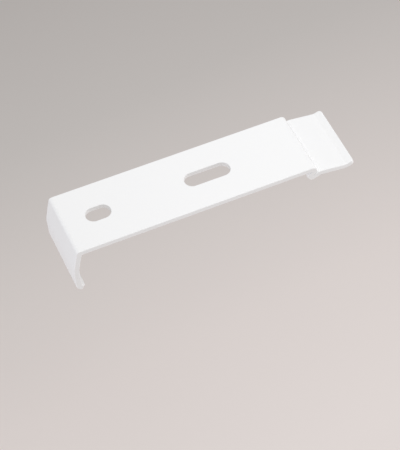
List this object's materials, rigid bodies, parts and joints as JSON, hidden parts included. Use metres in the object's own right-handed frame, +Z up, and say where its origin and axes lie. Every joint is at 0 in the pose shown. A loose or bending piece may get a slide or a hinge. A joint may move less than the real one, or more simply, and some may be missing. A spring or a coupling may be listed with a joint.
{
  "type": "curtain track ceiling clip",
  "caption": "Flat bent-steel ceiling clip for a wide curtain track: slotted screw plate, hooked leg at one end, snap nose with a release tab at the other.",
  "frame": {"origin": "on the face that lies on the ceiling, midway between the middles of the two screw slots", "axes": "+Z up into the ceiling, +X along the plate from the hooked leg to the release tab, +Y across the strip"},
  "size_m": [0.0825, 0.02, 0.0168],
  "materials": {
    "white_coating": "smooth white satin powder coating on steel sheet"
  },
  "bodies": {
    "root": {"ceiling_clip": "white_coating"}
  },
  "joints": []
}
